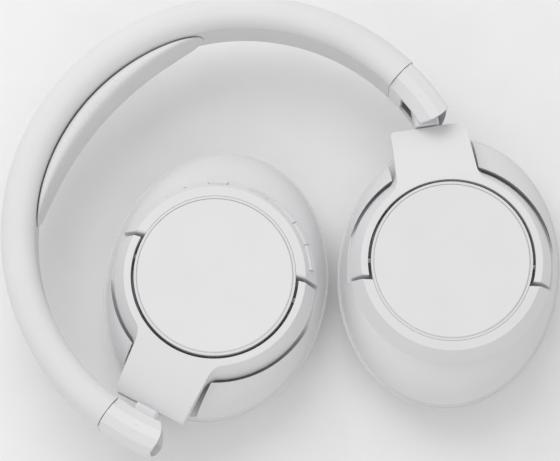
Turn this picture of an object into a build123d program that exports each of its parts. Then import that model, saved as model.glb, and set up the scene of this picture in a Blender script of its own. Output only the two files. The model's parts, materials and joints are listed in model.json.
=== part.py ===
"""Wireless folding over-ear headphones, lying flat with both cups swivelled level.

All sizes are in millimetres. While the model is being built, the headband's arc is centred on
the Z axis, its crown points along +Y, the wearer's left cup is on the +X side, and the floor
that the ear cushions lie on is z = 0. At the end everything is moved so that the origin is the
middle of the whole object's footprint, on the floor.
"""
from build123d import *
from math import atan2, cos, degrees, hypot, radians, sin
import os

# ---------------------------------------------------------------- headband
band_outer_radius = 87.3
band_thickness = 12.3
band_width = 27.0
band_corner = 5.4
band_wall = 1.5
seam_angle = 4.0          # the shell ends this far below the arc's centre line, on each side
liner_half_width = 9.2
liner_clearance = 0.1
pad_half_angle = 39.5
pad_depth = 7.6           # at the crown
pad_width = 23.5
pad_gap = 0.05
strip_thickness = 0.8
strip_width = 14.0
strip_end_angle = 24.0
cable_radius = 0.8

# ---------------------------------------------------------------- size slider and end cap
arm_thickness = 1.5
arm_width = 9.0
arm_engagement = 29.0     # inside the headband when the slider is closed
arm_anchor = 5.5          # inside the end cap
arm_start = 78.6          # distance of the arm from the arc's centre, at the seam
slider_travel = 20.0
cap_wall = 1.0
cap_joint_gap = 0.25
hinge_angle = 12.3        # fold pin below the arc's centre line
hinge_radius = 81.5       # fold pin from the arc's centre
tip_radius = 9.4          # the cap's end is round about the fold pin
pin_radius = 1.5
pin_reach = 13.0          # each way from the neck, into the cap's top and bottom walls
pivot_clearance = 0.05

# ---------------------------------------------------------------- fold knuckle and neck
knuckle_half_width = 4.3
knuckle_height = 13.0
slot_clearance = 0.4
neck_length = 10.0        # fold pin to the yoke's edge
neck_gap = 0.4
shaft_radius = 1.3
clip_radius = 2.1
clip_thickness = 0.8
fold_left = 28.5          # how far each cup is folded in from the band's own line
fold_right = 91.1

# ---------------------------------------------------------------- heights above the floor
floor_to_face = 41.0
cushion_height = 20.0
neck_height = 28.5
pin_height = 34.0

# ---------------------------------------------------------------- cup outline
oval_half_width = 40.3
oval_half_length = 50.2
oval_skew = 15.0          # the oval leans out at the top, seen on its outer face
rim_inset = 1.1
housing_wall = 1.6
hub_radius = 28.9
hub_wall = 0.9
ledge_width = 1.5
ledge_thickness = 1.2
bearing_depth = 3.0
bearing_half = 3.2
cap_disc_clearance = 0.1
cap_disc_thickness = 1.5
cap_disc_dish = 0.8

# ---------------------------------------------------------------- half ring
ring_top_radius = 32.4
ring_base_radius = 36.3
ring_height = 7.5
ring_wall = 1.2
ring_cut = 7.8            # the ring ends this far past the tilt pins
ring_clearance = 0.1

# ---------------------------------------------------------------- yoke
yoke_inner_radius = 30.0
yoke_top_radius = 32.5
yoke_base_radius = 36.3
yoke_depth = 9.4
yoke_drop = 0.4           # the yoke's top face sits this far under the cup's face
arm_past_pin = 6.3
pin_skew = 11.2           # the tilt pins' line leans against the neck
plate_edge = 51.7         # cup centre to the yoke's hinge-end edge
plate_half_width = 13.5
plate_flare = 0.055       # each side of the neck widens this much per millimetre
plate_root = 30.0
plate_thickness = 6.2
plate_slope_start = 22.0
shoulder_radius = 5.5
channel_clearance = 1.2
channel_slope = 0.177
yoke_cover_thickness = 0.8
tilt_pin_radius = 1.5
tilt_pin_reach = 3.5

# ---------------------------------------------------------------- inside the cup
baffle_thickness = 2.0
baffle_clearance = 0.65
mount_ring_thickness = 1.1
mesh_thickness = 0.3
ear_half_width = 21.0
ear_half_length = 31.0
cushion_outer_round = 12.5   # the cups' cushions pass each other as one cup swivels
cushion_inner_round = 3.5
driver_radius = 20.0
magnet_radius = 11.5
board_radius = 24.0
board_thickness = 1.2

# ---------------------------------------------------------------- controls on the right ring
button_half_height = 1.5
button_proud = 0.8
button_gap = 0.15
button_centre_drop = 4.7  # from the ring's top edge, down its sloping wall
button_angles = {"volume_up_button": (-62.0, -78.6), "mode_button": (-46.9, -61.5),
                 "volume_down_button": (-31.0, -46.4), "power_button": (-109.7, -121.0)}
cover_angles = (-83.7, -95.8)
light_angle = -147.6
microphone_angle = -135.5

band_inner_radius = band_outer_radius - band_thickness
band_mid_radius = band_outer_radius - band_thickness / 2
rim_height = cushion_height + 0.1
ring_base_height = floor_to_face - ring_height
hinge_to_cup = plate_edge + neck_length
parts = {}


def polar(radius, angle):
    return radius * cos(radians(angle)), radius * sin(radians(angle))


def revolved(section, start, end):
    """Turn an (r, z) section about the Z axis, from one angle to another."""
    face = Plane.XZ * section
    return Rot(0, 0, start) * revolve(face, axis=Axis.Z, revolution_arc=end - start)


def block(x0, x1, y0, y1, z0, z1):
    box = Box(x1 - x0, y1 - y0, z1 - z0)
    return Pos((x0 + x1) / 2, (y0 + y1) / 2, (z0 + z1) / 2) * box


def together(shapes):
    group = shapes[0]
    for shape in shapes[1:]:
        group += shape
    return group


def drum(radius, z0, z1):
    return Pos(0, 0, (z0 + z1) / 2) * Cylinder(radius, z1 - z0)


def oval(inset, z, half_width=oval_half_width, half_length=oval_half_length):
    """The cup's leaning oval outline, as a face at a height."""
    face = Ellipse(half_length - inset, half_width - inset)
    return Pos(0, 0, z) * Rot(0, 0, 90 - oval_skew) * face


def oval_slab(inset, z0, z1, half_width=oval_half_width, half_length=oval_half_length):
    return extrude(oval(inset, z0, half_width, half_length), z1 - z0)


# ================================================================ headband
def band_section(shrink=0.0):
    size = (band_thickness - 2 * shrink, band_width - 2 * shrink)
    return Pos(band_mid_radius, neck_height) * RectangleRounded(*size, band_corner - shrink)


def liner_window(half_width):
    depth = 2 * band_wall + 1
    return Pos(band_inner_radius, neck_height) * Rectangle(depth, 2 * half_width)


def headband_shell():
    section = band_section() - band_section(band_wall) - liner_window(liner_half_width)
    return revolved(section, -seam_angle, 180 + seam_angle)


def headband_liner():
    wall = band_section() - band_section(band_wall)
    section = wall & liner_window(liner_half_width - liner_clearance)
    return revolved(section, -seam_angle, 180 + seam_angle)


def crown_pad():
    """A plain lens between the liner and a flatter arc, as wide as the padded part."""
    outer = band_inner_radius - pad_gap
    end_x, end_y = outer * sin(radians(pad_half_angle)), outer * cos(radians(pad_half_angle))
    rise = band_inner_radius - pad_depth - end_y
    flat_radius = (end_x ** 2 + rise ** 2) / (2 * rise)
    low = neck_height - pad_width / 2
    lens = Pos(0, 0, low) * extrude(Circle(outer), pad_width)
    below = Pos(0, band_inner_radius - pad_depth - flat_radius, low) * extrude(
        Circle(flat_radius), pad_width)
    half_plane = block(-end_x, end_x, end_y - 2, outer, low, low + pad_width)
    ends = block(-end_x + 1.5, end_x - 1.5, end_y - 2, outer, low, low + pad_width)
    return (lens - below) & half_plane & ends


def spring_strip():
    radius = band_outer_radius - band_wall - strip_thickness
    section = Pos(radius, neck_height) * Rectangle(strip_thickness, strip_width)
    return revolved(section, strip_end_angle, 180 - strip_end_angle)


def band_cable():
    radius = band_inner_radius + band_wall + cable_radius
    section = Pos(radius, neck_height) * Circle(cable_radius)
    return revolved(section, strip_end_angle, 180 - strip_end_angle)


# ================================================================ size slider, on the +X side
fold_pin = polar(hinge_radius, -hinge_angle)
slide_direction = (-sin(radians(seam_angle)), -cos(radians(seam_angle)))


def cap_section(shrink=0.0):
    """Six flat facets, sharper than the band's rounded section."""
    inner, outer = band_inner_radius + shrink, band_outer_radius - shrink
    half = band_width / 2 - shrink
    upper = [(outer, half - 7.0), (outer - 1.9, half - 1.6), (outer - 5.4, half),
             (inner + 3.4, half - 0.9), (inner, half - 4.6)]
    lower = [(r, -z) for r, z in reversed(upper)]
    return Pos(0, neck_height) * make_face(Polyline(*upper, *lower, close=True))


def at_fold_pin(shape):
    """Lay a shape, drawn about the fold pin with the band's line along -Y, on the band's end."""
    return Pos(fold_pin[0], fold_pin[1], 0) * Rot(0, 0, -hinge_angle) * shape


def end_cap():
    start = -seam_angle - degrees(cap_joint_gap / band_mid_radius)
    tip = -hinge_angle - degrees(tip_radius / hinge_radius) - 2
    shell = revolved(cap_section(), tip, start)
    cavity = revolved(cap_section(cap_wall), tip - 1, start - degrees(3.0 / band_mid_radius))
    above = at_fold_pin(block(-20, 20, 0, 40, 0, 60))
    round_end = at_fold_pin(drum(tip_radius, 0, 60))
    half_slot = knuckle_height / 2 + slot_clearance
    slot = at_fold_pin(block(-12, 0, -20, knuckle_half_width + slot_clearance,
                             neck_height - half_slot, neck_height + half_slot))
    bore = at_fold_pin(drum(pin_radius, 0, neck_height + pin_reach + pivot_clearance))
    shell = (shell & (above + round_end)) - cavity - slot - bore
    return shell - slider_arm_solid(0.02)


def slider_arm_solid(clearance=0.0):
    """A straight steel strip, along the slide's direction."""
    length = arm_engagement + arm_anchor
    strip = Box(arm_thickness + 2 * clearance, length, arm_width + 2 * clearance)
    middle = (arm_engagement - arm_anchor) / 2
    return Rot(0, 0, -seam_angle) * Pos(arm_start, middle, neck_height) * strip


def slider_arm():
    notch = Pos(0, 0, 0) * Cylinder(0.5, arm_width + 2)
    strip = slider_arm_solid()
    for step in range(5):
        y = 6 + 4.0 * step
        place = Rot(0, 0, -seam_angle) * Pos(arm_start + arm_thickness / 2, y, neck_height)
        strip -= place * notch
    return strip


def fold_pin_solid():
    return at_fold_pin(drum(pin_radius, neck_height - pin_reach, neck_height + pin_reach))


# ================================================================ cup frame
# Each cup is drawn about its own centre, outer face up, with the neck along +Y.
def cup_location(fold):
    turn = -hinge_angle - fold
    dx, dy = polar(hinge_to_cup, turn - 90)
    return Pos(fold_pin[0] + dx, fold_pin[1] + dy, 0) * Rot(0, 0, turn)


def knuckle():
    height = knuckle_height / 2
    low, high = neck_height - height, neck_height + height
    barrel = Pos(0, hinge_to_cup, 0) * drum(knuckle_half_width, low, high)
    start = plate_edge + neck_gap
    body = block(-knuckle_half_width, knuckle_half_width, start, hinge_to_cup, low, high)
    body = fillet(body.edges().filter_by(Axis.Y), 1.2)
    bore = Pos(0, hinge_to_cup, 0) * drum(pin_radius + pivot_clearance, low - 1, high + 1)
    return barrel + body - bore - neck_rod(shaft_radius, start - 1, start + 4)


def neck_rod(radius, y0, y1):
    rod = Rot(90, 0, 0) * Cylinder(radius, y1 - y0)
    return Pos(0, (y0 + y1) / 2, neck_height) * rod


def swivel_shaft():
    start = plate_edge - 6.5
    end = plate_edge + neck_gap + 4
    return neck_rod(shaft_radius, start, end)


def swivel_clip():
    end = plate_edge - 4.2
    ring = neck_rod(clip_radius, end - clip_thickness, end)
    return ring - neck_rod(shaft_radius, end - 2, end + 1)


# ================================================================ yoke
def in_pin_frame(shape):
    return Rot(0, 0, -pin_skew) * shape


def plate_half_width_at(y):
    return plate_half_width + plate_flare * (plate_edge - y)


def yoke_side_profile():
    """Seen from the side: level arms, then a neck that curves down to the hinge."""
    top = floor_to_face - yoke_drop
    arm_bottom = top - yoke_depth
    edge_top = neck_height + plate_thickness / 2
    edge_bottom = neck_height - plate_thickness / 2
    fall = top - edge_top
    run = plate_edge - plate_slope_start
    radius = (run ** 2 + fall ** 2) / (2 * fall)
    half = atan2(run, radius - fall) / 2
    middle = (plate_slope_start + radius * sin(half), top - radius * (1 - cos(half)))
    roof = ThreePointArc((plate_slope_start, top), middle, (plate_edge, edge_top))
    walls = Polyline((plate_edge, edge_top), (plate_edge, edge_bottom),
                     (plate_root + 7, edge_bottom), (plate_root + 1, arm_bottom),
                     (-40, arm_bottom), (-40, top), (plate_slope_start, top))
    face = Plane.YZ * make_face(roof + walls)
    return extrude(face, 60, both=True)


def yoke_plate():
    start = 15.0
    root = plate_half_width_at(start)
    outline = Polyline((-plate_half_width, plate_edge), (plate_half_width, plate_edge),
                       (root, start), (-root, start), close=True)
    plate = Pos(0, 0, 15) * extrude(make_face(outline), 40)
    corners = plate.edges().filter_by(Axis.Z).sort_by(Axis.Y)[-2:]
    return fillet(corners, 1.5)


def yoke_arms():
    top = floor_to_face - yoke_drop
    bottom = top - yoke_depth
    section = Polyline((yoke_inner_radius - 4, bottom), (yoke_base_radius, bottom),
                       (yoke_top_radius, top),
                       (yoke_inner_radius - 4, top), close=True)
    return revolved(make_face(section), 0, 360)


def yoke_blank():
    body = yoke_arms() + yoke_plate()
    shoulders = [e for e in body.edges().filter_by(lambda e: is_shoulder(e))]
    body = fillet(shoulders, shoulder_radius)
    body &= yoke_side_profile()
    body -= drum(yoke_inner_radius, 0, 60)
    return body & in_pin_frame(block(-60, 60, -arm_past_pin, 80, 0, 60))


def is_shoulder(edge):
    """The two slanting lines where the neck plate's sides meet the arms' sloping wall."""
    low, high = edge.bounding_box().min, edge.bounding_box().max
    side = plate_half_width_at(low.Y)
    beside = abs(max(abs(low.X), abs(high.X)) - side) < 0.3
    return beside and high.Z - low.Z > 1.5 and 25 < low.Y < 40


def neck_pocket():
    edge_bottom = neck_height - plate_thickness / 2
    roof = neck_height + plate_thickness / 2 - 0.9
    return block(-10.5, 10.5, plate_root + 8.5, plate_edge - 4, edge_bottom - 1, roof)


def yoke_shell():
    body = yoke_blank() - neck_pocket()
    body -= neck_rod(shaft_radius + pivot_clearance, plate_edge - 10, plate_edge + 1)
    reach = yoke_inner_radius + tilt_pin_reach
    body -= in_pin_frame(Pos(0, 0, pin_height) * Rot(0, 90, 0) * Cylinder(tilt_pin_radius, 2 * reach))
    for x in (-8.5, 8.5):
        body -= Pos(x, plate_edge - 2.2, neck_height - plate_thickness / 2 + 1.6) * Cylinder(0.8, 3.4)
    return body


def yoke_cover():
    low = neck_height - plate_thickness / 2
    return block(-10.4, 10.4, plate_root + 8.6, plate_edge - 4.1, low, low + yoke_cover_thickness)


def yoke_screws():
    low = neck_height - plate_thickness / 2
    screws = []
    for x in (-8.5, 8.5):
        screws.append(Pos(x, plate_edge - 2.2, low + 1.6) * Cylinder(0.8, 3.2))
    return together(screws)


def tilt_pins():
    inside = hub_radius - 2.6
    outside = yoke_inner_radius + tilt_pin_reach
    length = outside - inside
    pins = []
    for side in (-1, 1):
        place = Pos(side * (inside + outside) / 2, 0, pin_height) * Rot(0, 90, 0)
        pins.append(in_pin_frame(place * Cylinder(tilt_pin_radius, length)))
    return together(pins)


# ================================================================ rear housing
def bowl(inset):
    """From the oval rim up to the round deck that the half ring sits on."""
    rise = ring_base_height - rim_height
    deck = Pos(0, 0, ring_base_height) * Rot(0, 0, 90 - oval_skew) * Ellipse(
        ring_base_radius - inset + 0.01, ring_base_radius - inset)
    sections = [oval(rim_inset + inset, rim_height),
                oval(rim_inset + inset + 0.9, rim_height + 0.3 * rise), deck]
    return loft(sections)


def channel(grow):
    """The space that the yoke's arms and neck move in, made larger by a wall's thickness."""
    side = channel_clearance + grow
    arms = drum(yoke_base_radius + side, 0, 80) & in_pin_frame(
        block(-80, 80, -ring_cut - grow, 80, 0, 80))
    root = plate_half_width_at(plate_root) + side
    neck = block(-root, root, 0, 80, 0, 80)
    floor_height = floor_to_face - yoke_drop - yoke_depth - 1.0 - grow
    slope = degrees(atan2(channel_slope, 1))
    # the sloping part starts behind the pins' line, so that no fin is left standing across it
    above = Pos(0, 0, floor_height) * Rot(-slope, 0, 0) * block(-90, 90, -20, 120, 0, 90)
    above += block(-90, 90, -90, 0, floor_height, 90)
    return (arms + neck) & in_pin_frame(above) - drum(hub_radius - grow * hub_wall / housing_wall, 0, 80)


def bearing_blocks():
    """The blocks behind the hub's wall that the tilt pins turn in."""
    low, high = pin_height - bearing_half, pin_height + bearing_half
    start, end = hub_radius - bearing_depth, hub_radius - hub_wall / 2
    right = block(start, end, -bearing_half, bearing_half, low, high)
    return in_pin_frame(right + block(-end, -start, -bearing_half, bearing_half, low, high))


def pin_bore(side):
    start, end = hub_radius - bearing_depth - 1, hub_radius + 1
    place = Pos(side * (start + end) / 2, 0, pin_height) * Rot(0, 90, 0)
    return in_pin_frame(place * Cylinder(tilt_pin_radius + pivot_clearance, end - start))


screw_places = [(30.0, 8.0), (-30.0, 8.0), (25.0, -26.0), (-25.0, -26.0)]


def screw_columns(radius, z0, z1):
    columns = [in_pin_frame(Pos(x, y, 0) * drum(radius, z0, z1)) for x, y in screw_places]
    return columns


def hub_hollow():
    """The round space inside the hub, narrower for a short way where the disc's ledge stands."""
    low, high = rim_height - 1, floor_to_face + 1
    shelf = floor_to_face - cap_disc_thickness
    throat = drum(hub_radius - hub_wall - ledge_width, low, high)
    below = drum(hub_radius - hub_wall, low, shelf - ledge_thickness)
    return throat + below + drum(hub_radius - hub_wall, shelf, high)


def rear_housing():
    """The bowl and hub, hollowed round the disc's ledge and the pins' bearing blocks."""
    solid = bowl(0) + drum(hub_radius, rim_height, floor_to_face)
    cavity = bowl(housing_wall) & block(-90, 90, -90, 90, 0, ring_base_height - housing_wall)
    hollow = cavity + hub_hollow() - bearing_blocks()
    channel_wall = (channel(housing_wall) & cavity) - drum(hub_radius - hub_wall, 0, floor_to_face)
    outside = solid - channel(0)
    body = solid - hollow + channel_wall - channel(0)
    for column in screw_columns(2.4, rim_height + baffle_thickness, ring_base_height - 0.5):
        body += column & outside
    for column in screw_columns(0.95, rim_height, rim_height + 5.5):
        body -= column
    for side in (-1, 1):
        body -= pin_bore(side)
    return body


def outer_disc():
    radius = hub_radius - hub_wall - cap_disc_clearance
    low = floor_to_face - cap_disc_thickness
    centre = floor_to_face - cap_disc_dish
    edge = Polyline((0, centre), (0, low), (radius, low), (radius, floor_to_face - 0.3),
                    (radius - 0.4, floor_to_face))
    chord = radius - 0.4
    bend = (chord ** 2 + cap_disc_dish ** 2) / (2 * cap_disc_dish)
    half = chord / 2
    sag = bend - (bend ** 2 - half ** 2) ** 0.5
    dish = ThreePointArc((radius - 0.4, floor_to_face), (half, centre + sag), (0, centre))
    return revolved(make_face(edge + dish), 0, 360)


# ================================================================ half ring
def ring_section(shrink=0.0):
    top = floor_to_face - shrink
    inner = hub_radius + ring_clearance + shrink
    slope = (ring_base_radius - ring_top_radius) / ring_height
    lean = hypot(1, slope)
    shift = shrink * lean
    base = ring_base_radius - shift
    points = [(inner, ring_base_height - 1 if shrink else ring_base_height),
              (base + (slope if shrink else 0), ring_base_height - 1 if shrink else ring_base_height),
              (ring_top_radius - shift + slope * shrink, top), (inner, top)]
    return make_face(Polyline(*points, close=True))


def half_ring():
    below = in_pin_frame(block(-80, 80, -80, -ring_cut, 0, 80))
    hollow = in_pin_frame(block(-80, 80, -80, -ring_cut - ring_wall, 0, 80))
    shell = revolved(ring_section(), 0, 360) & below
    top_ends = shell.edges().filter_by(lambda e: is_ring_end(e))
    shell = fillet(top_ends, 1.1)
    return shell - (revolved(ring_section(ring_wall), 0, 360) & hollow)


def is_ring_end(edge):
    """The short edges across the ring's top face, at its two ends."""
    box = edge.bounding_box()
    level = abs(box.min.Z - floor_to_face) < 0.01 and abs(box.max.Z - floor_to_face) < 0.01
    return level and edge.length < 6


def wall_frame(angle):
    """A plane on the ring's sloping wall: x runs round it, y up it, z out of it."""
    drop = ring_height
    flare = ring_base_radius - ring_top_radius
    length = hypot(drop, flare)
    part = button_centre_drop / length
    radius, z = ring_top_radius + flare * part, floor_to_face - drop * part
    outward = Vector(*polar(drop / length, angle), flare / length)
    along = Vector(*polar(1, angle - 90), 0)
    return Plane(origin=(*polar(radius, angle), z), x_dir=-along, z_dir=outward)


def button_section(half_height, inner, outer):
    """A rectangle across the ring's sloping wall, in the (r, z) plane."""
    flare = ring_base_radius - ring_top_radius
    length = hypot(ring_height, flare)
    part = button_centre_drop / length
    radius, z = ring_top_radius + flare * part, floor_to_face - ring_height * part
    tilt = degrees(atan2(flare, ring_height))
    bar = Pos((outer + inner) / 2, 0) * Rectangle(outer - inner, 2 * half_height)
    return Pos(radius, z) * Rot(0, 0, tilt) * bar


def button_slot(angles, grow=0.0):
    spread = degrees(grow / ring_base_radius)
    section = button_section(button_half_height + grow, -1.9, 3.0)
    return revolved(section, min(angles) - spread, max(angles) + spread)


def button(angles):
    face = revolved(button_section(button_half_height, -1.9, button_proud), min(angles), max(angles))
    flange = revolved(button_section(button_half_height + 0.5, -1.9, -1.35), min(angles), max(angles))
    return face + flange


def key_board():
    """Two curved strips, behind the row of three keys and behind the power key."""
    section = button_section(1.9, -2.9, -2.5)
    row = [angle for name, pair in button_angles.items() if name != "power_button" for angle in pair]
    power = button_angles["power_button"]
    return revolved(section, min(row), max(row)) + revolved(section, min(power), max(power))


def control_ring():
    ring = half_ring()
    for angles in button_angles.values():
        ring -= button_slot(angles, button_gap)
    ring -= cover_space(0.1)
    for angle in (light_angle, microphone_angle):
        ring -= wall_frame(angle) * Cylinder(0.6, 6)
    return ring


def cover_space(grow):
    frame = wall_frame(sum(cover_angles) / 2)
    half = ring_base_radius * radians(abs(cover_angles[1] - cover_angles[0]) / 2)
    lens = SlotOverall(2 * (half + grow), 2 * (button_half_height + grow))
    return frame * Pos(0, 0, -1.6) * extrude(lens, 2.6)


def port_cover():
    frame = wall_frame(sum(cover_angles) / 2)
    half = ring_base_radius * radians(abs(cover_angles[1] - cover_angles[0]) / 2)
    lens = SlotOverall(2 * half, 2 * button_half_height)
    return frame * Pos(0, 0, -0.95) * extrude(lens, 0.9)


def charge_socket():
    frame = wall_frame(sum(cover_angles) / 2)
    shell = RectangleRounded(7.0, 2.6, 1.2) - RectangleRounded(6.2, 1.8, 0.8)
    back = Pos(0, 0, -3.0) * extrude(RectangleRounded(7.0, 2.6, 1.2), 0.5)
    return frame * (back + Pos(0, 0, -2.5) * extrude(shell, 1.2))


def status_light():
    return wall_frame(light_angle) * Pos(0, 0, -0.7) * Cylinder(0.55, 1.6)


def microphone_mesh():
    return wall_frame(microphone_angle) * Pos(0, 0, -0.9) * Cylinder(0.55, 0.4)


# ================================================================ inside the cup
def baffle():
    low = rim_height
    plate = oval_slab(rim_inset + housing_wall + baffle_clearance, low, low + baffle_thickness)
    plate -= channel(housing_wall)
    plate -= drum(driver_radius - 2, 0, 60)
    for angle in (90, 210, 330):
        x, y = polar(driver_radius + 3.6, angle - pin_skew)
        plate += Pos(x, y, 0) * drum(1.6, low, board_height)
    for column in screw_columns(1.0, low - 1, low + 5):
        plate -= column
    return plate


board_height = 32.0


def housing_screws():
    return together(screw_columns(0.95, rim_height + 0.1, rim_height + 5.4))


def driver_frame():
    low = rim_height + baffle_thickness
    flange = drum(driver_radius + 1, low, low + 1.2)
    basket = drum(driver_radius - 1, low, low + 4.5)
    hollow = drum(driver_radius - 2, low - 1, low + 3.3)
    frame = flange + basket - hollow
    for angle in range(0, 360, 45):
        x, y = polar(driver_radius - 4.5, angle)
        frame -= Pos(x, y, 0) * drum(1.6, low, low + 6)
    return frame


def driver_magnet():
    low = rim_height + baffle_thickness + 4.5
    return drum(magnet_radius, low, low + 4.2)


def diaphragm():
    low = rim_height + baffle_thickness
    radius = driver_radius - 2.1
    section = Polyline((0, low + 2.2), (7.0, low + 0.9), (7.6, low + 0.9), (14, low + 1.8),
                       (radius, low + 0.9), (radius, low + 0.4), (14, low + 1.3),
                       (7.6, low + 0.4), (7.0, low + 0.4), (0, low + 1.7), close=True)
    return revolved(make_face(section), 0, 360)


def dust_mesh():
    low = cushion_height - mount_ring_thickness - mesh_thickness
    return oval_slab(10.4, low, low + mesh_thickness)


def cushion_mount():
    low = cushion_height - mount_ring_thickness
    ring = oval_slab(4.0, low, rim_height)
    return ring - oval_slab(0, low - 1, rim_height + 1, ear_half_width + 1, ear_half_length + 1)


def ear_cushion():
    body = oval_slab(0, 0, cushion_height)
    body = fillet(body.edges().group_by(Axis.Z)[0], cushion_outer_round)
    body = fillet(body.edges().group_by(Axis.Z)[-1], 2.0)
    hole = oval_slab(0, -1, cushion_height + 1, ear_half_width, ear_half_length)
    body -= hole
    inner_edge = body.edges().group_by(Axis.Z)[0].sort_by(lambda e: e.length)[0]
    body = fillet(inner_edge, cushion_inner_round)
    pocket = cushion_height - mount_ring_thickness - mesh_thickness
    return body - oval_slab(3.9, pocket, cushion_height + 1)


def main_board():
    board = drum(board_radius, board_height, board_height + board_thickness)
    top = board_height + board_thickness
    for x, y, w, d, h in ((0, 0, 8, 8, 1.0), (-11, 6, 5, 7, 0.9), (10, -7, 6, 4, 1.1), (7, 11, 4, 4, 0.8)):
        board += block(x - w / 2, x + w / 2, y - d / 2, y + d / 2, top, top + h)
    return board


def battery():
    low = board_height + board_thickness
    cell = block(-17, 17, -11, 11, low, low + 5)
    return fillet(cell.edges().filter_by(Axis.Z), 2.0)


def battery_board():
    return drum(board_radius, board_height, board_height + board_thickness)


# ================================================================ assembly
def add(name, shape):
    parts[name] = shape


def add_side(hand, fold, ring, extras):
    place = cup_location(fold)
    turned = {"fold_knuckle": knuckle, "swivel_shaft": swivel_shaft, "swivel_clip": swivel_clip,
              "yoke_shell": yoke_shell, "yoke_cover": yoke_cover, "yoke_screws": yoke_screws,
              "tilt_pins": tilt_pins, "rear_housing": rear_housing, "outer_disc": outer_disc,
              "baffle": baffle, "housing_screws": housing_screws, "driver_frame": driver_frame,
              "driver_magnet": driver_magnet, "diaphragm": diaphragm, "dust_mesh": dust_mesh,
              "cushion_mount": cushion_mount, "ear_cushion": ear_cushion, "ring": ring}
    fixed = {"slider_arm": slider_arm, "end_cap": end_cap, "fold_pin": fold_pin_solid}
    made = {f"{hand}_{name}": make() for name, make in fixed.items()}
    made.update({f"{hand}_{name}": place * make() for name, make in turned.items()})
    made.update({name: place * shape for name, shape in extras.items()})
    for name, shape in made.items():
        add(name, shape if hand == "left" else mirror(shape, about=Plane.YZ))


add("headband_shell", headband_shell())
add("headband_liner", headband_liner())
add("crown_pad", crown_pad())
add("spring_strip", spring_strip())
add("band_cable", band_cable())
controls = {name: button(angles) for name, angles in button_angles.items()}
controls.update(key_board=key_board(), port_cover=port_cover(), charge_socket=charge_socket(),
                status_light=status_light(), microphone_mesh=microphone_mesh(),
                main_board=main_board())
add_side("right", fold_right, control_ring, controls)
add_side("left", fold_left, half_ring, {"battery": battery(), "battery_board": battery_board()})

boxes = [shape.bounding_box() for shape in parts.values()]
low_corner = [min(getattr(box.min, axis) for box in boxes) for axis in "XYZ"]
high_corner = [max(getattr(box.max, axis) for box in boxes) for axis in "XYZ"]
origin = [(low + high) / 2 for low, high in zip(low_corner, high_corner)][:2]
os.makedirs("parts", exist_ok=True)
for name, shape in parts.items():
    export_step(Pos(-origin[0], -origin[1], 0) * shape, f"parts/{name}.step")
print(len(parts), "nodes; box", low_corner, high_corner, "origin moved by", origin)
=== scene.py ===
import json
import math

import bmesh
import bpy
from mathutils import Matrix, Vector


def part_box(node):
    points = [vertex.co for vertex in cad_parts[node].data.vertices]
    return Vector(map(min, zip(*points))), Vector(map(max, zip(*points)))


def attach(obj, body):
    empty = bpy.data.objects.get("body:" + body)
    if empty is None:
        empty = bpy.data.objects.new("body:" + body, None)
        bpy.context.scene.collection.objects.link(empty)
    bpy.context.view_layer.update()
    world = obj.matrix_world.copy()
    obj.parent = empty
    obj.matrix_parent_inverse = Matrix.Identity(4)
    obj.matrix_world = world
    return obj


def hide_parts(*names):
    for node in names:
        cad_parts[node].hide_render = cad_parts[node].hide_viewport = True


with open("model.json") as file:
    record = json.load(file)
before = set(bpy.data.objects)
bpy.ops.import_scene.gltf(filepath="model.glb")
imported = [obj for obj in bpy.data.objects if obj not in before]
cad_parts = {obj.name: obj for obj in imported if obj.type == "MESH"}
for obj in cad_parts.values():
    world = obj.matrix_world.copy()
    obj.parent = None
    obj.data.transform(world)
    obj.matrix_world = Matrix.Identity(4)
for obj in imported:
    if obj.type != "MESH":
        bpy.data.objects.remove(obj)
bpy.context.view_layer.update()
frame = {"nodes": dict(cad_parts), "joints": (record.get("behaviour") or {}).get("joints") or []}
nodes = frame["nodes"]

# ---------------------------------------------------------------- camera
# Looks almost straight down on the cups' outer faces, leaning a little towards the open
# side of the band. A long lens keeps the discs round.
look_at = Vector((0.0101, 0.0019, 0.0263))
distance = 1.1
seen_width = 0.2029
away = Vector((-0.1512, -0.1288, 0.9801)).normalized()
right_hand = Vector((0.648, -0.761, 0.0)).normalized()
upward = away.cross(right_hand).normalized()
camera_data = bpy.data.cameras.new("camera")
camera_data.sensor_width = 36.0
camera_data.lens = camera_data.sensor_width * distance / seen_width
camera_data.clip_start = 0.01
camera = bpy.data.objects.new("camera", camera_data)
turn = Matrix((right_hand, upward, away)).transposed()
camera.matrix_world = Matrix.Translation(look_at + distance * away) @ turn.to_4x4()
bpy.context.scene.collection.objects.link(camera)
bpy.context.scene.camera = camera
bpy.context.scene.view_settings.view_transform = "Standard"


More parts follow.
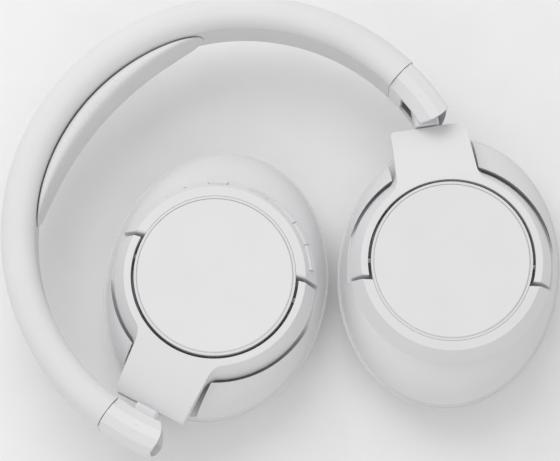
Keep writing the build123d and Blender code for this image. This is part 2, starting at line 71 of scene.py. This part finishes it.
# ---------------------------------------------------------------- headband shell and liner
# Two long mouldings in tough nylon, clipped together along the inner side. Their spark-eroded
# mould leaves a fine matte grain, and handling polishes it slightly in patches.
def moulded_plastic(name, colour, roughness, grain_size, grain_depth, patchiness=0.05):
    cloud_scale = 55.0
    cloud_span = (0.3, 0.7)
    cloud_shade = 0.975
    grain_strength = 0.35
    material = bpy.data.materials.new(name)
    material.use_nodes = True
    tree = material.node_tree
    shader = tree.nodes["Principled BSDF"]
    place = tree.nodes.new("ShaderNodeTexCoord").outputs["Object"]
    cloud = tree.nodes.new("ShaderNodeTexNoise")
    cloud.inputs["Scale"].default_value = cloud_scale
    cloud.inputs["Detail"].default_value = 3.0
    tint = tree.nodes.new("ShaderNodeValToRGB")
    tint.color_ramp.elements[0].position = cloud_span[0]
    tint.color_ramp.elements[0].color = [c * cloud_shade for c in colour] + [1.0]
    tint.color_ramp.elements[1].position = cloud_span[1]
    tint.color_ramp.elements[1].color = list(colour) + [1.0]
    polish = tree.nodes.new("ShaderNodeMapRange")
    polish.inputs["To Min"].default_value = roughness - patchiness
    polish.inputs["To Max"].default_value = roughness + patchiness
    grain = tree.nodes.new("ShaderNodeTexNoise")
    grain.inputs["Scale"].default_value = 1.0 / grain_size
    grain.inputs["Detail"].default_value = 4.0
    bump = tree.nodes.new("ShaderNodeBump")
    bump.inputs["Strength"].default_value = grain_strength
    bump.inputs["Distance"].default_value = grain_depth
    tree.links.new(place, cloud.inputs["Vector"])
    tree.links.new(place, grain.inputs["Vector"])
    tree.links.new(cloud.outputs["Fac"], tint.inputs["Fac"])
    tree.links.new(tint.outputs["Color"], shader.inputs["Base Color"])
    tree.links.new(cloud.outputs["Fac"], polish.inputs["Value"])
    tree.links.new(polish.outputs["Result"], shader.inputs["Roughness"])
    tree.links.new(grain.outputs["Fac"], bump.inputs["Height"])
    tree.links.new(bump.outputs["Normal"], shader.inputs["Normal"])
    return material


def finish_in(material, *names):
    for name in names:
        for slot in nodes[name].material_slots:
            slot.material = material


band_nylon = moulded_plastic("band_nylon", (0.80, 0.80, 0.81), 0.58, 0.00035, 0.00003)
finish_in(band_nylon, "headband_shell")
# The liner gets a darker grey than the shell: painted shade for the band's inner side, which
# turns away from the light.
liner_nylon_painted_shade = moulded_plastic("liner_nylon_painted_shade", (0.74, 0.74, 0.75), 0.66, 0.0004, 0.00004)
finish_in(liner_nylon_painted_shade, "headband_liner")


# ---------------------------------------------------------------- crown pad
# A strip of foam under a stretched leatherette cover, glued to the liner. It is thickest at
# the crown, and its cover is pulled down to a thin edge all round.
def leatherette(name, colour, pore_size, depth):
    sheen = 0.12
    crease_scale = 420.0
    pore_painted_shade = 0.90
    pore_edge = 0.18
    roughness_span = (0.48, 0.62)
    crease_strength = 0.3
    pore_strength = 0.5
    material = bpy.data.materials.new(name)
    material.use_nodes = True
    tree = material.node_tree
    shader = tree.nodes["Principled BSDF"]
    shader.inputs["Sheen Weight"].default_value = sheen
    place = tree.nodes.new("ShaderNodeTexCoord").outputs["Object"]
    pores = tree.nodes.new("ShaderNodeTexVoronoi")
    pores.feature = "DISTANCE_TO_EDGE"
    pores.inputs["Scale"].default_value = 1.0 / pore_size
    crease = tree.nodes.new("ShaderNodeTexNoise")
    crease.inputs["Scale"].default_value = crease_scale
    crease.inputs["Detail"].default_value = 5.0
    # The tint darkens the cover along the grooves between its grain cells: painted shade in the
    # grooves.
    tint = tree.nodes.new("ShaderNodeValToRGB")
    tint.color_ramp.elements[0].position = 0.0
    tint.color_ramp.elements[0].color = [c * pore_painted_shade for c in colour] + [1.0]
    tint.color_ramp.elements[1].position = pore_edge
    tint.color_ramp.elements[1].color = list(colour) + [1.0]
    gloss = tree.nodes.new("ShaderNodeMapRange")
    gloss.inputs["To Min"].default_value = roughness_span[0]
    gloss.inputs["To Max"].default_value = roughness_span[1]
    coarse = tree.nodes.new("ShaderNodeBump")
    coarse.inputs["Strength"].default_value = crease_strength
    coarse.inputs["Distance"].default_value = depth
    fine = tree.nodes.new("ShaderNodeBump")
    fine.inputs["Strength"].default_value = pore_strength
    fine.inputs["Distance"].default_value = depth
    tree.links.new(place, pores.inputs["Vector"])
    tree.links.new(place, crease.inputs["Vector"])
    tree.links.new(pores.outputs["Distance"], tint.inputs["Fac"])
    tree.links.new(tint.outputs["Color"], shader.inputs["Base Color"])
    tree.links.new(crease.outputs["Fac"], gloss.inputs["Value"])
    tree.links.new(gloss.outputs["Result"], shader.inputs["Roughness"])
    tree.links.new(crease.outputs["Fac"], coarse.inputs["Height"])
    tree.links.new(pores.outputs["Distance"], fine.inputs["Height"])
    tree.links.new(coarse.outputs["Normal"], fine.inputs["Normal"])
    tree.links.new(fine.outputs["Normal"], shader.inputs["Normal"])
    return material


def finished_piece(name, shape, material, subdivisions):
    bmesh.ops.remove_doubles(shape, verts=shape.verts, dist=1e-6)
    bmesh.ops.recalc_face_normals(shape, faces=shape.faces)
    for face in shape.faces:
        face.smooth = True
    mesh = bpy.data.meshes.new(name)
    shape.to_mesh(mesh)
    shape.free()
    mesh.materials.append(material)
    piece = bpy.data.objects.new(name, mesh)
    bpy.context.scene.collection.objects.link(piece)
    if subdivisions:
        smooth = piece.modifiers.new("smooth", "SUBSURF")
        smooth.levels = subdivisions
        smooth.render_levels = subdivisions
    return piece


cover_leather = leatherette("cover_leather", (0.78, 0.78, 0.785), 0.0007, 0.00006)
shell_low, shell_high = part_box("headband_shell")
pad_low, pad_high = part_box("crown_pad")
band_outside = (shell_high[0] - shell_low[0]) / 2
band_centre = Vector((0.0, shell_high[1] - band_outside, (pad_low[2] + pad_high[2]) / 2))
pad_half_turn = math.radians(38.0)
pad_back = 0.07485
flat_arc_radius = 0.1235
flat_arc_centre = -0.0561
pad_half_width = (pad_high[2] - pad_low[2]) / 2
pad_slices = 72
edge_points = 28
side_roundness = 0.55
face_roundness = 0.7
spin_radius = 10.0
thinnest_pad = 0.0008
end_squareness = 7
end_width = 0.04
end_depth = 0.35
shape = bmesh.new()
edge_loop = []
for step in range(edge_points):
    angle = 2 * math.pi * step / edge_points
    across = math.copysign(abs(math.cos(angle)) ** side_roundness, math.cos(angle))
    out = math.copysign(abs(math.sin(angle)) ** face_roundness, math.sin(angle))
    edge_loop.append(shape.verts.new((0.0, out, across)))
loop_edges = [shape.edges.new((edge_loop[i], edge_loop[i - 1])) for i in range(edge_points)]
bmesh.ops.translate(shape, verts=edge_loop, vec=(0.0, spin_radius, 0.0))
bmesh.ops.rotate(shape, verts=edge_loop, cent=(0, 0, 0),
                 matrix=Matrix.Rotation(-pad_half_turn, 3, "Z"))
bmesh.ops.spin(shape, geom=edge_loop + loop_edges, cent=(0, 0, 0), axis=(0, 0, 1),
               angle=2 * pad_half_turn, steps=pad_slices)
for point in shape.verts:
    around = math.atan2(point.co.x, point.co.y)
    out = math.hypot(point.co.x, point.co.y) - spin_radius
    to_end = min(1.0, abs(around) / pad_half_turn)
    taper = max(end_width, (1.0 - to_end ** end_squareness) ** 0.5)
    front = flat_arc_centre * math.cos(around) + math.sqrt(
        flat_arc_radius ** 2 - (flat_arc_centre * math.sin(around)) ** 2)
    middle = (pad_back + min(front, pad_back - thinnest_pad)) / 2
    half_depth = (pad_back - middle) * min(1.0, end_depth + taper)
    reach = pad_back - half_depth + half_depth * out
    point.co = Vector((reach * math.sin(around), reach * math.cos(around),
                       point.co.z * pad_half_width * taper)) + band_centre
bmesh.ops.holes_fill(shape, edges=[e for e in shape.edges if e.is_boundary], sides=40)
crown_cover = finished_piece("crown_cover", shape, cover_leather, 1)
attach(crown_cover, "headband")
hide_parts("crown_pad")


# ---------------------------------------------------------------- band spring and cable
# The flat spring that makes the band grip, and the sleeved lead between the cups. Both run
# inside the band, out of sight.
def worked_metal(name, colour, roughness):
    material = moulded_plastic(name, colour, roughness, 0.0003, 0.00001, 0.06)
    material.node_tree.nodes["Principled BSDF"].inputs["Metallic"].default_value = 1.0
    return material


spring_steel = worked_metal("spring_steel", (0.58, 0.58, 0.60), 0.36)
finish_in(spring_steel, "spring_strip")
lead_sleeve = moulded_plastic("lead_sleeve", (0.70, 0.70, 0.70), 0.7, 0.0005, 0.00002)
finish_in(lead_sleeve, "band_cable")

# ---------------------------------------------------------------- sliders, end caps and hinges
# Satin mouldings with crisp edges close each end of the band. A steel arm slides out of the
# band with each cap, and the knuckle turns in the cap on a steel pin.
cap_satin = moulded_plastic("cap_satin", (0.82, 0.82, 0.83), 0.34, 0.0005, 0.000012)
knuckle_nylon = moulded_plastic("knuckle_nylon", (0.78, 0.78, 0.79), 0.46, 0.0004, 0.00002)
for hand in ("right", "left"):
    finish_in(cap_satin, f"{hand}_end_cap")
    finish_in(knuckle_nylon, f"{hand}_fold_knuckle")
    finish_in(spring_steel, f"{hand}_slider_arm", f"{hand}_fold_pin",
              f"{hand}_swivel_shaft", f"{hand}_swivel_clip", f"{hand}_tilt_pins")

# ---------------------------------------------------------------- yokes
# Each yoke is one stiff moulding, a flat neck plate that opens into two arms round the cup. A
# small cover is screwed over the swivel from below.
yoke_nylon = moulded_plastic("yoke_nylon", (0.81, 0.81, 0.82), 0.50, 0.00035, 0.000025)
black_screw = worked_metal("black_screw", (0.16, 0.16, 0.17), 0.42)
for hand in ("right", "left"):
    finish_in(yoke_nylon, f"{hand}_yoke_shell", f"{hand}_yoke_cover")
    finish_in(black_screw, f"{hand}_yoke_screws")

# ---------------------------------------------------------------- cup housings, rings and discs
# The bowl, the half ring on it and the dished outer disc are separate mouldings in the same
# white, and the disc has the smoothest face of the three. The bowl and the ring get slightly
# darker greys than the disc, as painted shade on their steeper faces.
bowl_nylon_painted_shade = moulded_plastic("bowl_nylon_painted_shade", (0.77, 0.77, 0.78), 0.56, 0.00035, 0.00003)
ring_nylon_painted_shade = moulded_plastic("ring_nylon_painted_shade", (0.80, 0.80, 0.81), 0.50, 0.00035, 0.000025)
disc_nylon = moulded_plastic("disc_nylon", (0.82, 0.82, 0.83), 0.44, 0.0004, 0.000014)
for hand in ("right", "left"):
    finish_in(bowl_nylon_painted_shade, f"{hand}_rear_housing")
    finish_in(ring_nylon_painted_shade, f"{hand}_ring")
    finish_in(disc_nylon, f"{hand}_outer_disc")

# ---------------------------------------------------------------- inside the cups
# The dark baffle carries the driver, behind a fine woven mesh. Boards and the battery sit
# under the disc.
baffle_black = moulded_plastic("baffle_black", (0.05, 0.05, 0.055), 0.6, 0.0004, 0.00003)
mesh_weave = moulded_plastic("mesh_weave", (0.60, 0.60, 0.61), 0.9, 0.0006, 0.00012)
board_green = moulded_plastic("board_green", (0.03, 0.16, 0.07), 0.35, 0.0008, 0.00003)
cone_film = moulded_plastic("cone_film", (0.62, 0.62, 0.64), 0.25, 0.0009, 0.00002)
cell_foil = worked_metal("cell_foil", (0.60, 0.61, 0.63), 0.32)
for hand in ("right", "left"):
    finish_in(baffle_black, f"{hand}_baffle", f"{hand}_driver_frame", f"{hand}_cushion_mount")
    finish_in(mesh_weave, f"{hand}_dust_mesh")
    finish_in(cone_film, f"{hand}_diaphragm")
    finish_in(spring_steel, f"{hand}_driver_magnet")
    finish_in(black_screw, f"{hand}_housing_screws")
finish_in(board_green, "main_board", "battery_board", "key_board")
finish_in(cell_foil, "battery")

# ---------------------------------------------------------------- controls on the right cup
# Satin keys stand just proud of the ring. The port cover is a soft moulding, and the light
# shines through a small clear bar.
key_satin = moulded_plastic("key_satin", (0.83, 0.83, 0.84), 0.36, 0.0004, 0.00001)
finish_in(key_satin, "volume_up_button", "mode_button", "volume_down_button", "power_button")
cover_rubber = moulded_plastic("cover_rubber", (0.76, 0.76, 0.77), 0.68, 0.0004, 0.00003)
finish_in(cover_rubber, "port_cover")
light_bar = moulded_plastic("light_bar", (0.90, 0.92, 0.94), 0.16, 0.0009, 0.000005)
finish_in(light_bar, "status_light")
socket_steel = worked_metal("socket_steel", (0.52, 0.52, 0.54), 0.34)
finish_in(socket_steel, "charge_socket")
finish_in(baffle_black, "microphone_mesh")

# ---------------------------------------------------------------- ear cushions
# Oval rings of foam in a sewn leatherette cover. The inner and outer panels are joined at a
# piped seam, and the cover ripples a little where it is pulled round the tight ends.
cushion_leather = leatherette("cushion_leather", (0.78, 0.78, 0.785), 0.0008, 0.00007)
outer_half = (0.0399, 0.0498)
inner_half = (0.0213, 0.0313)
cushion_profile = [(1.000, 0.0196), (1.008, 0.0165), (1.000, 0.0125), (0.955, 0.0080),
                   (0.830, 0.0040), (0.640, 0.0013), (0.400, 0.0001), (0.220, 0.0003),
                   (0.080, 0.0022), (0.010, 0.0060), (0.000, 0.0120), (0.030, 0.0182),
                   (0.420, 0.0183), (0.760, 0.0183), (0.790, 0.0196)]
around_steps = 112
wall_middle, wall_half = 0.011, 0.008
ripple_depth = 0.00011
main_ripples, minor_ripples, minor_share = 31, 47, 0.6
seam_radius, seam_height = 0.0400, 0.0176
piping_radius, piping_points = 0.00055, 10
for hand, long_axis in (("right", 28.4), ("left", 34.2)):
    tilt = next(j for j in frame["joints"] if j["name"] == f"{hand}_tilt")
    middle = Vector((tilt["pos_m"][0], tilt["pos_m"][1], 0.0))
    turned = Matrix.Rotation(math.radians(long_axis - 90.0), 3, "Z")
    shape = bmesh.new()
    section = [shape.verts.new((1.0 + share, 0.0, height)) for share, height in cushion_profile]
    count = len(section)
    rim = [shape.edges.new((section[i], section[i - 1])) for i in range(count)]
    bmesh.ops.spin(shape, geom=section + rim, cent=(0, 0, 0), axis=(0, 0, 1),
                   angle=2 * math.pi, steps=around_steps, use_merge=True)
    for point in shape.verts:
        share = math.hypot(point.co.x, point.co.y) - 1.0
        angle = math.atan2(point.co.y, point.co.x)
        wall = max(0.0, 1.0 - abs(point.co.z - wall_middle) / wall_half)
        tight = 0.35 + 0.65 * math.sin(angle) ** 2
        ripple = ripple_depth * wall * tight * (
            math.sin(main_ripples * angle + 0.7)
            + minor_share * math.sin(minor_ripples * angle + 2.1))
        half = [inner + (outer - inner) * share
                for inner, outer in zip(inner_half, outer_half)]
        point.co = Vector(((half[0] - abs(ripple)) * math.cos(angle),
                           (half[1] - abs(ripple)) * math.sin(angle), point.co.z))
    bmesh.ops.rotate(shape, verts=shape.verts, cent=(0, 0, 0), matrix=turned)
    bmesh.ops.translate(shape, verts=shape.verts, vec=middle)
    cushion = finished_piece(f"{hand}_cushion_cover", shape, cushion_leather, 1)
    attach(cushion, f"{hand}_cup")
    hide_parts(f"{hand}_ear_cushion")

    # The piping is a thin cord sewn into the seam under the cup's rim, in the same leatherette
    # as the cover. It is closed on itself.
    shape = bmesh.new()
    bead = bmesh.ops.create_circle(
        shape, segments=piping_points, radius=piping_radius)["verts"]
    bmesh.ops.rotate(shape, verts=bead, cent=(0, 0, 0),
                     matrix=Matrix.Rotation(math.pi / 2, 3, "X"))
    bmesh.ops.translate(shape, verts=bead, vec=(seam_radius, 0.0, seam_height))
    bmesh.ops.spin(shape, geom=bead + shape.edges[:], cent=(0, 0, 0), axis=(0, 0, 1),
                   angle=2 * math.pi, steps=around_steps, use_merge=True)
    for point in shape.verts:
        angle = math.atan2(point.co.y, point.co.x)
        off = math.hypot(point.co.x, point.co.y) - seam_radius
        point.co = Vector(((outer_half[0] + off) * math.cos(angle),
                           (outer_half[1] + off) * math.sin(angle), point.co.z))
    bmesh.ops.rotate(shape, verts=shape.verts, cent=(0, 0, 0), matrix=turned)
    bmesh.ops.translate(shape, verts=shape.verts, vec=middle)
    piping = finished_piece(f"{hand}_cushion_piping", shape, cushion_leather, 0)
    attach(piping, f"{hand}_cup")

# ---------------------------------------------------------------- floor and light
# A plain pale sheet under the headphones, a broad soft light over the crown side and a weaker
# one opposite, so that the white mouldings keep their edges.
sheet_half = 3.0
shape = bmesh.new()
bmesh.ops.create_grid(shape, x_segments=2, y_segments=2, size=sheet_half)
sheet_finish = moulded_plastic("pale_sheet", (0.93, 0.93, 0.93), 0.8, 0.004, 0.00001)
floor = finished_piece("floor", shape, sheet_finish, 0)


def soft_light(name, place, size, power):
    lamp = bpy.data.lights.new(name, "AREA")
    lamp.size = size
    lamp.energy = power
    holder = bpy.data.objects.new(name, lamp)
    holder.location = place
    holder.rotation_mode = "QUATERNION"
    holder.rotation_quaternion = (look_at - Vector(place)).to_track_quat("-Z", "Y")
    bpy.context.scene.collection.objects.link(holder)


soft_light("crown_light", (0.25, 0.55, 0.75), 0.75, 3.4)
soft_light("fill_light", (-0.55, -0.30, 0.60), 0.70, 0.9)
surround = bpy.data.worlds.new("surround")
surround.use_nodes = True
surround.node_tree.nodes["Background"].inputs["Color"].default_value = (1.0, 1.0, 1.0, 1.0)
surround.node_tree.nodes["Background"].inputs["Strength"].default_value = 0.62
bpy.context.scene.world = surround
